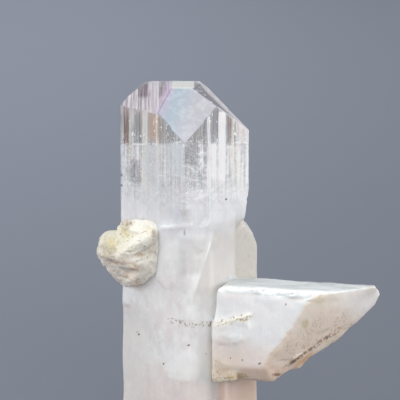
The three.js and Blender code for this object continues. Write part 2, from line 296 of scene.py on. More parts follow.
def make_cloud():
    """The milky cloud that fills the prism's lower part and frays out into the clear head."""
    bm = bmesh.new()
    rows = []
    for j in range(LEVELS + 1):
        row = []
        for i in range(AROUND):
            angle = 2 * math.pi * i / AROUND
            r = section_radius(angle, CLOUD_INSET)
            x, y = r * math.cos(angle), r * math.sin(angle)
            z = CLOUD_FOOT + (cloud_height(x, y) - CLOUD_RIM - CLOUD_FOOT) * j / LEVELS
            uneven = 0.5 + fbm(x / 1.2, y / 1.2, z / 1.6, 3)
            pull = 1 - 0.05 * uneven * smoothstep(0, 0.6, j / LEVELS)
            row.append(bm.verts.new((x * pull, y * pull, z)))
        rows.append(row)
    for k in range(1, RINGS + 1):
        share = 1 - k / (RINGS + 1)
        row = []
        for i in range(AROUND):
            angle = 2 * math.pi * i / AROUND
            r = section_radius(angle, CLOUD_INSET) * share
            x, y = r * math.cos(angle), r * math.sin(angle)
            row.append(bm.verts.new((x, y, cloud_height(x, y) - CLOUD_RIM * (share > 0.93))))
        rows.append(row)
    tip = bm.verts.new((0, 0, cloud_height(0, 0)))
    root = bm.verts.new((0, 0, CLOUD_FOOT))
    for a, b in zip(rows, rows[1:]):
        for i in range(AROUND):
            j = (i + 1) % AROUND
            bm.faces.new((a[i], a[j], b[j], b[i]))
    for i in range(AROUND):
        j = (i + 1) % AROUND
        bm.faces.new((rows[-1][i], rows[-1][j], tip))
        bm.faces.new((rows[0][j], rows[0][i], root))
    bmesh.ops.recalc_face_normals(bm, faces=bm.faces)
    return add_object("milky_cloud", bm, smooth_below=EVERYWHERE)


def wavy_sheet(bm, centre, size, turn, thickness, wave, seed, columns=28, rows=10):
    """Adds a thin closed sheet, wavy and ragged, whose two sides meet along the rim."""
    rotation = Euler(tuple(math.radians(a) for a in turn)).to_matrix()
    grid = {}
    for side in (0, 1):
        for i in range(columns + 1):
            for j in range(rows + 1):
                u, v = i / columns * 2 - 1, j / rows * 2 - 1
                edge = max(abs(u), abs(v))
                if side and edge == 1:
                    grid[1, i, j] = grid[0, i, j]
                    continue
                rag = 1 + 0.22 * edge * fbm(u * 2.3 + seed, v * 2.3, seed * 1.7, 3)
                lift = wave * fbm(u * 1.7 + seed, v * 1.7 + 3, seed, 3)
                body = thickness * (1 - edge ** 4) * (0.5 if side else -0.5)
                point = Vector((u * size[0] * rag, v * size[1] * rag, lift + body))
                grid[side, i, j] = bm.verts.new(rotation @ point + Vector(centre))
    for i in range(columns):
        for j in range(rows):
            for side in (0, 1):
                quad = [grid[side, *c] for c in ((i, j), (i + 1, j), (i + 1, j + 1), (i, j + 1))]
                bm.faces.new(quad if side else quad[::-1])


# Healed fractures across the prism: centre, half size, turn in degrees, wave
FRACTURES = (
    ((5.6, -0.9, 39.8), (1.9, 1.6), (4, -12, 0), 0.25),
    ((-5.4, -1.0, 39.4), (2.0, 1.5), (3, 6, 0), 0.20),
    ((0.6, -3.6, 39.3), (1.9, 1.4), (8, 4, 20), 0.22),
    ((-1.5, -4.2, 35.8), (1.9, 1.5), (6, -3, -12), 0.30),
    ((4.0, -2.6, 35.9), (1.8, 1.5), (5, 5, 30), 0.30),
    ((2.4, -4.4, 37.3), (1.0, 0.9), (16, 14, 40), 0.30),
    ((-4.6, -2.4, 34.9), (1.7, 1.2), (7, -6, -30), 0.25),
    ((5.6, -1.0, 33.4), (1.4, 1.1), (5, 9, 10), 0.22),
    ((-0.9, -5.8, 30.6), (2.1, 1.2), (12, -3, 0), 0.18),
)


def keep_inside(bm):
    """Draws in whatever would reach the prism's faces."""
    for v in bm.verts:
        reach = abs(v.co.x) / HALF_WIDTH + abs(v.co.y) / HALF_DEPTH
        if reach > SHEET_REACH:
            v.co.x *= SHEET_REACH / reach
            v.co.y *= SHEET_REACH / reach


def make_fractures():
    bm = bmesh.new()
    for k, (centre, size, turn, wave) in enumerate(FRACTURES):
        wavy_sheet(bm, centre, size, turn, FRACTURE_THICKNESS, wave, 3.1 * k + 1)
    keep_inside(bm)
    return add_object("healed_fractures", bm, smooth_below=EVERYWHERE)


# Upright growth streaks: x, y, lowest and highest point, half width, turn about the prism's axis
STREAKS = (
    (-6.9, 0.3, 35.0, 43.0, 0.28, 40),
    (-6.0, 1.2, 34.0, 42.8, 0.22, 48),
    (-5.2, -1.6, 33.0, 43.6, 0.16, -45),
    (-4.7, 2.4, 34.5, 43.9, 0.40, 42),
    (-3.4, -3.4, 33.2, 43.0, 0.18, -42),
    (-2.9, 3.9, 36.0, 43.8, 0.50, 44),
    (-1.6, 3.0, 33.0, 44.0, 0.25, 40),
    (1.6, 4.6, 34.0, 43.2, 0.45, -44),
    (3.0, -3.9, 33.5, 42.6, 0.16, 44),
    (3.9, -2.2, 34.0, 42.4, 0.34, 44),
    (4.6, 2.1, 34.0, 42.2, 0.32, -40),
    (5.3, -1.4, 33.2, 41.8, 0.15, 42),
    (6.1, 0.9, 34.2, 41.4, 0.30, -46),
    (6.7, -0.3, 34.0, 41.0, 0.14, 44),
)


def make_streaks():
    bm = bmesh.new()
    for k, (x, y, low, high, half, turn) in enumerate(STREAKS):
        centre = (x, y, (low + high) / 2)
        size = ((high - low) / 2, half)
        start = len(bm.verts)
        upright = (0, 90, 0)
        wavy_sheet(
            bm, (0, 0, 0), size, upright, STREAK_THICKNESS, STREAK_WAVE, 5.3 * k + 2, columns=34, rows=4
        )
        bm.verts.ensure_lookup_table()
        moved = bm.verts[start:]
        bmesh.ops.rotate(bm, verts=moved, matrix=Matrix.Rotation(math.radians(turn), 3, "Z"))
        bmesh.ops.translate(bm, verts=moved, vec=centre)
    keep_inside(bm)
    return add_object("growth_streaks", bm, smooth_below=EVERYWHERE)


def blocky(p, size):
    """A surface of small tilted blocks with creases between them."""
    distances, points = noise.voronoi(p / size)
    tilt = noise.cell_vector(points[0] * 7.3) - Vector((0.5, 0.5, 0.5))
    crease = smoothstep(0.0, 0.16, distances[1] - distances[0])
    return size * (0.40 * (p / size - points[0]).dot(tilt) + 0.04 * crease)


# Creases of the lump that are filled with crumbs: centre, reach, number of passes
OLD_CREASES = (
    ((-6.6, -6.2, 24.9), 2.6, 24),
    ((-8.4, -5.2, 24.3), 2.6, 24),
)


# The lump: its mesh pitch, how often it is smoothed, and the prism face that it sits on, by the
# direction away from that face and the face's distance from the axis
LUMP_PITCH = 0.14
LUMP_PASSES = 6
FACE_DIRECTION = Vector((0.7361, 0.6769))
FACE_DISTANCE = 5.889


def make_matrix():
    """The lump, remeshed, with blocks, grit and lobes, drawn in to the crystal at its root."""
    bm = node_bmesh("matrix_lump")
    obj = add_object("matrix", bm)
    remesh = obj.modifiers.new("remesh", "REMESH")
    remesh.mode = "VOXEL"
    remesh.voxel_size = LUMP_PITCH * MM
    depsgraph = bpy.context.evaluated_depsgraph_get()
    mesh = bpy.data.meshes.new_from_object(obj.evaluated_get(depsgraph))
    bpy.data.objects.remove(obj)
    bm = bmesh.new()
    bm.from_mesh(mesh)
    bmesh.ops.scale(bm, vec=(1 / MM,) * 3, verts=bm.verts)
    for _ in range(LUMP_PASSES):
        bmesh.ops.smooth_vert(
            bm, verts=bm.verts, factor=0.5, use_axis_x=True, use_axis_y=True, use_axis_z=True
        )
    for centre, reach, passes in OLD_CREASES:
        soften(bm.verts, centre, reach, passes)
    bm.normal_update()
    for v in bm.verts:
        p = v.co
        lump = 0.08 * fbm(p.x / 1.5, p.y / 1.5 + 3, p.z / 1.5, 3) + 0.45 * blocky(p, 2.3)
        grit = 0.05 * fbm(p.x / 0.35, p.y / 0.35, p.z / 0.35 + 8, 3) + 0.75 * blocky(p, 0.9)
        from_face = abs(p.x) * FACE_DIRECTION.x + abs(p.y) * FACE_DIRECTION.y - FACE_DISTANCE
        fade = smoothstep(0.4, 1.4, from_face)
        rim = smoothstep(-7.2, -4.2, p.x)
        side = Vector((math.copysign(FACE_DIRECTION.x, p.x), math.copysign(FACE_DIRECTION.y, p.y), 0))
        p += v.normal * ((lump + grit - 0.06) * fade)
        p -= side * (rim * 0.90 * max(0.0, from_face - 0.40))
        lobe = smoothstep(24.2, 23.4, p.z) * smoothstep(21.2, 23.2, p.z)
        lobe *= (1 - rim) * smoothstep(-8.6, -7.6, p.x)
        p -= side * (lobe * 0.45 * max(0.0, from_face - 0.6))
        if from_face < 1.5:
            pull = (1 - smoothstep(0.5, 1.5, from_face)) * 0.55
            p -= side * pull
    return add_object("matrix", bm, smooth_below=EVERYWHERE)


# ---------------------------------------------------------------- shader helpers
class Nodes:
    """Short calls for building one material's node tree."""

    def __init__(self, name):
        self.material = bpy.data.materials.new(name)
        self.material.use_nodes = True
        self.tree = self.material.node_tree
        self.tree.nodes.clear()
        self.output = self.tree.nodes.new("ShaderNodeOutputMaterial")
        coordinates = self.tree.nodes.new("ShaderNodeTexCoord")
        scale = self.tree.nodes.new("ShaderNodeVectorMath")
        scale.operation = "SCALE"
        scale.inputs["Scale"].default_value = 1 / MM
        self.link(coordinates.outputs["Object"], scale.inputs[0])
        self.place = scale.outputs[0]
        split = self.tree.nodes.new("ShaderNodeSeparateXYZ")
        self.link(self.place, split.inputs[0])
        self.x, self.y, self.z = split.outputs
        geometry = self.tree.nodes.new("ShaderNodeNewGeometry")
        facing = self.tree.nodes.new("ShaderNodeSeparateXYZ")
        self.link(geometry.outputs["True Normal"], facing.inputs[0])
        self.up = facing.outputs[2]
        # Height measured on planes that rise towards the front, as the healed fractures do.
        self.tier = self.add(self.z, self.times(self.y, FRACTURE_SLOPE))
        self.front = self.step(self.y, 0.0, -1.2)
        # The colour painted so far, and how far a milky veil covers the clear head.
        self.colour = self.veil = None

    def link(self, a, b):
        self.tree.links.new(a, b)

    def feed(self, socket, value):
        if isinstance(value, bpy.types.NodeSocket):
            self.link(value, socket)
        else:
            socket.default_value = value

    def math(self, operation, a, b=0.0, clamp=False):
        node = self.tree.nodes.new("ShaderNodeMath")
        node.operation = operation
        node.use_clamp = clamp
        self.feed(node.inputs[0], a)
        self.feed(node.inputs[1], b)
        return node.outputs[0]

    def add(self, *terms):
        return reduce(partial(self.math, "ADD"), terms)

    def times(self, *factors):
        return reduce(partial(self.math, "MULTIPLY"), factors)

    def step(self, value, low, high):
        """0 below low, 1 above high, smooth between; low may be above high."""
        node = self.tree.nodes.new("ShaderNodeMapRange")
        node.interpolation_type = "SMOOTHSTEP"
        self.feed(node.inputs["Value"], value)
        flip = low > high
        node.inputs["From Min"].default_value = high if flip else low
        node.inputs["From Max"].default_value = low if flip else high
        node.inputs["To Min"].default_value = 1.0 if flip else 0.0
        node.inputs["To Max"].default_value = 0.0 if flip else 1.0
        return node.outputs[0]

    def span(self, value, first_out, first_in, last_out, last_in):
        """1 between the two inner values, falling to 0 at the two outer ones."""
        return self.times(self.step(value, first_out, first_in), self.step(value, last_out, last_in))

    def invert(self, value):
        return self.add(1.0, self.times(value, -1.0))

    def band(self, value, middle, half, soft):
        """1 within half of the middle, falling to 0 over soft."""
        away = self.math("ABSOLUTE", self.add(value, -middle))
        return self.step(away, half + soft, half)

    def stretch(self, scale, shift):
        node = self.tree.nodes.new("ShaderNodeMapping")
        node.inputs["Scale"].default_value = scale if isinstance(scale, tuple) else (scale,) * 3
        node.inputs["Location"].default_value = (shift, shift * 0.7, shift * 1.3)
        self.link(self.place, node.inputs["Vector"])
        return node.outputs[0]

    def noise(self, scale, detail=3.0, shift=0.0, rough=0.55, distort=0.0):
        """Noise from 0 to 1; the scale is one number, or one for each axis."""
        node = self.tree.nodes.new("ShaderNodeTexNoise")
        node.inputs["Scale"].default_value = 1.0
        node.inputs["Detail"].default_value = detail
        node.inputs["Roughness"].default_value = rough
        node.inputs["Distortion"].default_value = distort
        self.link(self.stretch(scale, shift), node.inputs["Vector"])
        return node.outputs["Fac"]

    def sway(self, reach, *pattern):
        """Noise that swings as far below nought as above it."""
        return self.times(self.add(self.noise(*pattern), -0.5), reach)

    def cells(self, scale, shift):
        """A random grey for each polygonal cell."""
        node = self.tree.nodes.new("ShaderNodeTexVoronoi")
        node.inputs["Scale"].default_value = 1.0
        bent = self.tree.nodes.new("ShaderNodeVectorMath")
        bent.operation = "ADD"
        self.link(self.stretch(scale, shift), bent.inputs[0])
        finer = tuple(2.5 * s for s in scale) if isinstance(scale, tuple) else 2.5 * scale
        wander = self.times(self.noise(finer, 3, shift + 5.0), 0.5)
        self.link(wander, bent.inputs[1])
        self.link(bent.outputs[0], node.inputs["Vector"])
        split = self.tree.nodes.new("ShaderNodeSeparateColor")
        self.link(node.outputs["Color"], split.inputs[0])
        return split.outputs[0]

    def mix(self, share, a, b):
        node = self.tree.nodes.new("ShaderNodeMix")
        node.data_type = "RGBA"
        self.feed(node.inputs[0], share)
        self.feed(node.inputs[6], a if isinstance(a, bpy.types.NodeSocket) else (*a, 1))
        self.feed(node.inputs[7], b if isinstance(b, bpy.types.NodeSocket) else (*b, 1))
        return node.outputs[2]

    def tint(self, share, strength, shade):
        """Lays a shade over the colour so far."""
        self.colour = self.mix(self.times(share, strength), self.colour, shade)

    def mix_value(self, share, a, b):
        node = self.tree.nodes.new("ShaderNodeMix")
        self.feed(node.inputs[0], share)
        self.feed(node.inputs[2], a)
        self.feed(node.inputs[3], b)
        return node.outputs[0]

    def cover(self, share, thickness):
        """Draws the veil over the clear head towards a thickness."""
        self.veil = self.mix_value(share, self.veil, thickness)

    def bump(self, height, strength, distance, normal=None):
        node = self.tree.nodes.new("ShaderNodeBump")
        node.inputs["Strength"].default_value = strength
        node.inputs["Distance"].default_value = distance * MM
        self.link(height, node.inputs["Height"])
        if normal is not None:
            self.link(normal, node.inputs["Normal"])
        return node.outputs[0]

    def surface(self, **values):
        node = self.tree.nodes.new("ShaderNodeBsdfPrincipled")
        for key, value in values.items():
            socket = node.inputs[key.replace("_", " ")]
            if isinstance(value, tuple) and len(value) == 3 and socket.type == "RGBA":
                value = (*value, 1)
            self.feed(socket, value)
        self.link(node.outputs[0], self.output.inputs["Surface"])
        return node


WHITE = (1.0, 1.0, 1.0)

# Upright stripes in the clear head: middle and half width in x, foot and top tier, strength, tone
STRIPES = (
    (-7.25, 0.32, 38.6, 43.6, 0.90, "brown"),
    (-6.75, 0.10, 36.0, 44.0, 0.80, "cream"),
    (-6.45, 0.08, 32.0, 44.0, 0.85, "white"),
    (-5.70, 0.22, 38.6, 42.6, 0.30, "grey"),
    (-6.10, 0.60, 33.5, 36.6, 0.45, "grey"),
    (-4.90, 0.30, 33.0, 43.4, 0.90, "cream"),
    (-3.70, 0.60, 38.8, 43.3, 0.80, "amber"),
    (-3.35, 0.10, 35.0, 43.4, 0.95, "cream"),
    (-2.75, 0.55, 38.8, 41.8, 0.50, "tan"),
    (-1.00, 0.85, 34.5, 38.7, 0.80, "blue"),
    (-3.85, 0.95, 33.0, 38.5, 0.75, "white"),
    (0.85, 0.80, 35.8, 38.5, 0.42, "grey"),
    (0.90, 1.60, 38.8, 41.8, 0.35, "grey"),
    (3.02, 0.12, 33.0, 42.4, 0.95, "white"),
    (3.75, 0.45, 39.2, 42.9, 0.60, "grey"),
    (4.62, 0.40, 34.0, 42.6, 1.00, "white"),
    (3.60, 0.30, 34.2, 38.6, 0.95, "white"),
    (5.50, 0.24, 38.7, 42.4, 0.75, "brown"),
    (6.05, 0.10, 34.0, 41.8, 0.90, "cream"),
    (6.50, 0.08, 34.0, 41.4, 0.80, "cream"),
    (7.35, 0.62, 38.6, 41.6, 0.92, "pink"),
)
TONES = {
    "brown": (0.25, 0.16, 0.13),
    "amber": (0.72, 0.46, 0.33),
    "tan": (0.66, 0.54, 0.42),
    "grey": (0.28, 0.27, 0.29),
    "cream": (0.94, 0.88, 0.82),
    "white": (0.97, 0.96, 0.97),
    "pink": (0.86, 0.80, 0.79),
    "blue": (0.84, 0.89, 0.97),
}


def facet(n, normal, point):
    """1 on the crystal face through a point, 0 on every other face."""
    away = n.add(n.times(n.x, normal[0]), n.times(n.y, normal[1]), n.times(n.z, normal[2]))
    offset = sum(a * b for a, b in zip(normal, point))
    return n.step(away, offset - 0.16, offset - 0.05)


def stripes(n):
    """Lays the upright stripes over the veil and colour of the clear head."""
    across = n.add(n.x, n.sway(0.35, (1.2, 1.2, 0.25), 3, 51.0))
    broken = n.step(n.noise((2.6, 2.6, 0.35), 4, 58.0, 0.7), 0.34, 0.52)
    for middle, half, foot, top, strength, tone in STRIPES:
        low = n.step(n.tier, foot - 0.6, foot + 0.4)
        high = n.step(n.tier, top + 0.2, top - 0.3)
        share = n.times(low, high, n.band(across, middle, half, 0.10))
        share = n.times(share, n.add(strength * 0.55, n.times(broken, strength * 0.45)))
        n.cover(share, strength)
        n.colour = n.mix(share, n.colour, TONES[tone])


# Healed fractures seen as bright threads: tier, first and last x, strength
THREADS = (
    (38.45, -8.2, -2.6, 0.9),
    (38.60, 5.2, 8.2, 1.0),
    (38.75, -1.4, 3.4, 0.7),
    (34.60, -3.4, 0.1, 0.5),
    (34.75, 2.3, 5.6, 0.8),
    (33.55, -8.2, -5.6, 0.5),
    (28.50, -3.1, 1.0, 0.9),
)


def threads(n):
    tier = n.add(n.tier, n.sway(1.3, (0.45, 0.45, 0.1), 4, 36.0, 0.6))
    gaps = n.step(n.noise(1.1, 4, 38.0, 0.65), 0.40, 0.58)
    for middle, first, last, strength in THREADS:
        reach = n.span(n.x, first, first + 0.5, last, last - 0.5)
        share = n.times(n.band(tier, middle, 0.04, 0.12), reach, n.times(gaps, strength))
        n.cover(share, 1.0)
        n.colour = n.mix(share, n.colour, WHITE)


def milky_colour(n):
    """Milk white in faint polygonal patches, with paler veils and faint pink clouds."""
    broad = n.step(n.noise((0.22, 0.22, 0.18), 4, 7.0, 0.6), 0.35, 0.65)
    n.colour = n.mix(broad, (0.81, 0.775, 0.765), (0.88, 0.87, 0.85))
    patch = n.cells((0.42, 0.42, 0.30), 3.0)
    n.tint(patch, 0.45, (0.97, 0.96, 0.94))
    small = n.cells((1.3, 1.3, 0.9), 11.0)
    n.tint(n.step(small, 0.60, 0.98), 0.40, (0.99, 0.99, 0.97))
    n.tint(n.step(small, 0.30, 0.02), 0.22, (0.70, 0.67, 0.66))
    veins = n.step(n.noise((0.9, 0.9, 0.6), 5, 27.0, 0.7, 1.0), 0.54, 0.62)
    n.tint(veins, 0.45, (0.99, 0.99, 0.98))
    pink = n.step(n.noise((0.30, 0.30, 0.24), 3, 23.0), 0.52, 0.72)
    n.tint(pink, 0.45, (0.82, 0.73, 0.72))
    n.tint(n.step(n.tier, 24.5, 29.5), 0.7, (0.76, 0.77, 0.81))
    n.tint(n.step(n.z, 13.0, 3.0), 0.85, (0.81, 0.715, 0.675))


def specks(n, size, threshold, shift):
    return n.step(n.noise((size, size, size), 2, shift, 0.5), threshold, threshold + 0.04)


def side_colours(n):
    """The beige end of the side crystal, its stained lower edge and the parts round its root, with
    painted shade on its top face and upper edge, painted light on the chip and a painted shadow below
    it.
    """
    slant = n.add(n.x, n.times(n.z, -0.72), n.times(n.noise(0.5, 3, 44.0), 1.6))
    right = n.step(n.x, 9.0, 10.5)
    # Painted shade: faces turned up on the side crystal are painted grey to tone down the light they
    # catch.
    top = n.times(n.step(n.x, 4.6, 6.0), n.step(n.z, 15.0, 18.0), n.step(n.up, 0.75, 0.95))
    grey = n.step(n.noise((0.25, 0.9, 0.9), 4, 46.0), 0.36, 0.62)
    n.tint(top, 0.85, n.mix(grey, (0.42, 0.45, 0.44), (0.60, 0.62, 0.61)))
    front = n.times(n.step(n.x, 2.8, 3.8), n.step(n.y, -4.6, -6.2), n.step(n.z, 9.5, 13.0))
    n.tint(front, 0.85, (1.0, 0.99, 0.955))
    # The white chip, with painted light over the shade along its lower edge.
    chip = n.times(n.band(n.x, 6.6, 1.2, 0.5), n.band(n.z, 16.4, 1.4, 0.5))
    n.tint(n.times(chip, n.step(n.y, -6.6, -7.2)), 0.85, (1.0, 0.99, 0.945))
    blush = n.times(front, n.step(n.add(n.tier, n.times(n.x, 0.25)), 17.0, 13.8))
    n.tint(blush, 0.80, (0.82, 0.715, 0.67))
    frost = n.step(n.noise((0.8, 2.2, 2.2), 5, 49.0, 0.7), 0.44, 0.56)
    frost = n.times(n.step(n.z, 19.6, 20.4), n.step(n.y, -6.6, -6.9), frost)
    n.tint(n.times(frost, n.step(n.x, 6.0, 8.0)), 0.9, WHITE)
    # Painted shade: the rounded upper front edge is painted grey over the highlight it catches.
    brow_painted_shade = n.step(n.add(n.tier, n.times(n.x, 0.10)), 20.1, 20.8)
    brow_painted_shade = n.times(brow_painted_shade, n.step(n.z, 22.6, 22.0), n.front, n.span(n.x, 4.2, 5.4, 20.5, 16.5))
    brow_painted_shade = n.times(brow_painted_shade, n.step(n.up, 0.95, 0.80))
    n.tint(brow_painted_shade, 0.85, n.mix(grey, (0.50, 0.53, 0.52), (0.70, 0.72, 0.71)))
    end = n.times(n.step(slant, 1.4, 2.1), right, n.step(n.up, 0.75, 0.5))
    end = n.times(end, n.step(n.add(n.x, n.tier), 41.5, 34.5))
    n.tint(end, 0.85, (0.88, 0.78, 0.67))
    under = n.add(n.z, n.times(n.x, -0.35))
    near = n.step(under, 14.0, 8.5)
    cluster = n.step(n.noise(0.45, 3, 64.0), 0.40, 0.60)
    grains = n.times(end, near, n.times(cluster, specks(n, 3.7, 0.54, 61.0)))
    n.tint(grains, 0.8, (0.42, 0.29, 0.16))
    clouds = n.times(end, n.step(n.noise(0.7, 4, 66.0), 0.46, 0.64))
    n.tint(n.times(clouds, near), 0.60, (0.72, 0.57, 0.44))
    n.tint(n.times(end, near), 0.50, (0.70, 0.57, 0.48))
    line = n.add(n.tier, n.times(n.x, -0.68), n.times(n.noise(0.8, 3, 68.0), 0.9))
    scar = n.times(n.band(line, 2.45, 0.08, 0.30), n.span(n.x, 12.8, 13.3, 16.8, 15.6))
    scar = n.times(scar, n.step(n.noise(1.6, 4, 87.0, 0.7), 0.42, 0.52))
    n.tint(n.times(scar, n.front), 0.92, (0.17, 0.10, 0.06))
    trail = n.times(n.band(line, 2.45, 0.14, 0.30), n.span(n.x, 10.4, 10.9, 20.5, 18.5))
    trail = n.times(specks(n, 2.4, 0.48, 69.0), n.front, trail)
    n.tint(trail, 0.85, (0.32, 0.21, 0.14))
    rust = n.times(n.band(line, 1.60, 0.20, 0.35), n.span(n.x, 12.9, 14.2, 16.4, 15.2))
    n.tint(n.times(rust, n.front), 0.8, (0.60, 0.36, 0.19))
    below = n.times(n.step(n.tier, 11.2, 10.0), n.step(n.x, 6.4, 7.4))
    n.tint(n.times(below, n.step(n.x, 16.0, 13.0)), 0.9, (0.80, 0.63, 0.51))
    # Beige below the side crystal: partly its tone, partly a painted shadow cast by it, darker still to
    # the right.
    ragged = n.add(n.z, n.times(n.noise(0.5, 4, 48.0), 5.0))
    low = n.times(n.step(ragged, 13.6, 11.4), n.step(n.x, 3.8, 4.4), n.span(n.y, 1.5, -1.5, -7.2, -6.6))
    n.tint(low, 0.85, (0.76, 0.59, 0.49))
    n.tint(n.times(low, n.step(n.x, 5.8, 7.4)), 0.6, (0.60, 0.465, 0.39))
    blots(n)


# Blots on the side crystal: x, tier, half width, half height, strength, colour
BLOTS = (
    (14.9, 16.0, 0.45, 0.60, 0.75, (0.60, 0.54, 0.30)),
    (16.6, 18.9, 0.70, 0.45, 0.50, (0.66, 0.64, 0.46)),
    (17.7, 14.1, 0.22, 0.25, 0.90, (0.24, 0.20, 0.12)),
    (18.6, 13.4, 1.40, 0.50, 0.55, (0.66, 0.60, 0.42)),
    (6.5, 9.35, 1.20, 0.50, 0.90, (0.44, 0.28, 0.12)),
    (3.9, 8.80, 0.25, 0.40, 0.85, (0.28, 0.20, 0.12)),
    (5.2, 9.90, 0.60, 0.50, 0.60, (0.60, 0.48, 0.26)),
    (11.4, 9.50, 0.55, 0.20, 0.90, (0.26, 0.13, 0.08)),
    (12.4, 11.4, 0.90, 0.12, 0.60, (0.42, 0.30, 0.20)),
    (7.4, 16.4, 0.60, 0.40, 0.55, (0.90, 0.80, 0.68)),
    (7.1, 22.8, 0.30, 0.30, 0.65, (0.42, 0.35, 0.20)),
    (7.9, 22.5, 0.25, 0.22, 0.60, (0.42, 0.35, 0.20)),
)


def oval(n, x, tier, half, tall):
    """Squared distance from a place, 1 on the oval with these half sizes."""
    across = n.math("POWER", n.math("ABSOLUTE", n.times(n.add(n.x, -x), 1 / half)), 2.0)
    along = n.math("POWER", n.math("ABSOLUTE", n.times(n.add(n.tier, -tier), 1 / tall)), 2.0)
    return n.add(across, along)


def blots(n):
    shake = n.sway(5.0, 3.2, 4, 39.0, 0.75)
    for x, tier, half, tall, strength, shade in BLOTS:
        away = n.add(oval(n, x, tier, half, tall), shake)
        n.tint(n.times(n.step(away, 1.6, 0.0), n.front), strength, shade)


def stem_specks(n):
    """Rows of dark grains along the seam and the ledge, yellowish below, and a few scattered ones."""
    gaps = n.step(n.noise(1.0, 3, 89.0, 0.6), 0.42, 0.54)
    sway = n.times(n.noise(0.9, 3, 97.0), 0.9)
    row = n.band(n.add(n.z, n.times(n.x, 0.13), sway), 17.75, 0.14, 0.36)
    row = n.times(row, n.span(n.x, -2.4, -1.6, 3.8, 3.2), n.step(n.y, -2.0, -4.0))
    n.tint(n.times(row, gaps, specks(n, 3.4, 0.52, 81.0)), 0.85, (0.36, 0.28, 0.22))
    ledge = n.band(n.add(n.z, n.times(n.x, -0.27), sway), 16.65, 0.22, 0.32)
    ledge = n.times(ledge, n.span(n.x, 3.0, 3.6, 8.6, 8.0), n.step(n.y, -6.0, -7.0))
    n.tint(ledge, 0.30, (0.80, 0.72, 0.50))
    n.tint(n.times(ledge, gaps, specks(n, 3.2, 0.53, 91.0)), 0.85, (0.44, 0.33, 0.20))
    block = n.span(n.x, 3.0, 3.6, 8.2, 5.4)
    block = n.times(block, n.span(n.z, 14.8, 11.0, 9.2, 9.8), n.step(n.y, -4.0, -6.0))
    n.tint(block, 0.75, (0.80, 0.67, 0.50))
    edges = n.math("MAXIMUM", n.band(n.x, 4.1, 0.20, 0.3), n.step(n.z, 11.2, 10.4))
    grains = n.times(block, edges, specks(n, 3.8, 0.57, 99.0))
    n.tint(grains, 0.85, (0.45, 0.32, 0.18))
    grains_by_place(n, GRAINS)


# Single dark grains: x, tier and radius
GRAINS = (
    (-5.75, 14.45, 0.16),
    (-5.95, 14.75, 0.08),
    (0.50, 13.30, 0.14),
    (-2.60, 10.90, 0.13),
    (5.70, 11.70, 0.10),
    (7.10, 11.40, 0.12),
    (9.25, 11.00, 0.13),
    (12.4, 18.40, 0.12),
    (2.60, 12.10, 0.08),
    (-1.50, 16.10, 0.09),
)
HEAD_GRAINS = (
    (5.12, 31.60, 0.13),
    (7.30, 42.30, 0.10),
    (-6.90, 38.00, 0.07),
)


def grains_by_place(n, grains):
    shake = n.sway(0.5, 2.6, 3, 33.0, 0.7)
    for x, tier, radius in grains:
        across = n.math("POWER", n.math("ABSOLUTE", n.add(n.x, shake, -x)), 2.0)
        along = n.math("POWER", n.math("ABSOLUTE", n.add(n.tier, shake, -tier)), 2.0)
        away = n.math("SQRT", n.add(across, along))
        share = n.times(n.step(away, radius * 1.25, radius * 0.7), n.front)
        n.tint(share, 0.9, (0.15, 0.12, 0.11))


def upper_tones(n):
    """The stem's white upper rim, partly painted light over the shade under the nose, painted light on
    the nose's under facet and the middle edge, the warmer part right of the oblique edge and the rear
    crystal.
    """
    waver = n.sway(0.8, 0.6, 3, 83.0)
    # A white rim band: partly the stem's milky rim, partly painted light over the shade under the
    # prism's nose.
    white_rim_and_painted_light = n.add(n.tier, n.times(n.x, -0.14), waver)
    white_rim_and_painted_light = n.times(n.band(white_rim_and_painted_light, 28.45, 0.12, 0.18), n.span(n.x, -3.1, -2.7, 1.2, 0.7))
    n.tint(n.times(white_rim_and_painted_light, n.front), 0.95, WHITE)
    # Painted light: the facet under the nose faces slightly down and is painted white against its
    # shade.
    nose = n.times(n.step(n.z, 28.8, 29.2), n.step(n.y, -7.0, -7.4), n.step(n.up, -0.12, -0.22))
    n.tint(nose, 0.9, WHITE)
    oblique = n.add(n.x, n.times(n.z, -0.33))
    warm = n.times(n.step(oblique, -5.9, -5.5), n.span(n.z, 30.0, 28.6, 19.0, 22.0))
    n.tint(n.times(warm, n.front), 0.80, (0.62, 0.595, 0.57))
    line = n.times(n.band(oblique, -5.75, 0.05, 0.12), n.span(n.z, 24.6, 25.2, 27.4, 26.8))
    n.tint(n.times(line, n.front), 0.9, WHITE)
    shoulder = n.times(n.step(n.x, 0.9, 2.2), n.span(n.tier, 32.2, 31.2, 26.8, 28.0))
    n.tint(n.times(shoulder, n.front), 0.75, (0.67, 0.675, 0.69))
    centre = n.times(n.band(n.x, 1.1, 1.2, 0.9), n.band(n.tier, 24.5, 1.8, 0.9))
    n.tint(n.times(centre, n.front), 0.6, (0.67, 0.655, 0.65))
    # Painted light: the shaded edge down the middle of the front is painted white.
    ridge_painted_light = n.times(n.band(n.x, -0.1, 0.35, 0.45), n.span(n.z, 31.6, 30.8, 27.9, 28.7))
    n.tint(n.times(ridge_painted_light, n.front), 0.8, WHITE)
    rear = n.times(n.step(n.y, -3.2, -2.4), n.step(n.z, 19.0, 21.5), n.step(n.x, 5.9, 6.6))
    rear = n.times(rear, n.step(n.z, 30.0, 28.5))
    n.tint(rear, 0.9, (0.56, 0.535, 0.49))
    n.tint(n.times(rear, specks(n, 2.8, 0.62, 57.0)), 0.6, (0.50, 0.46, 0.32))


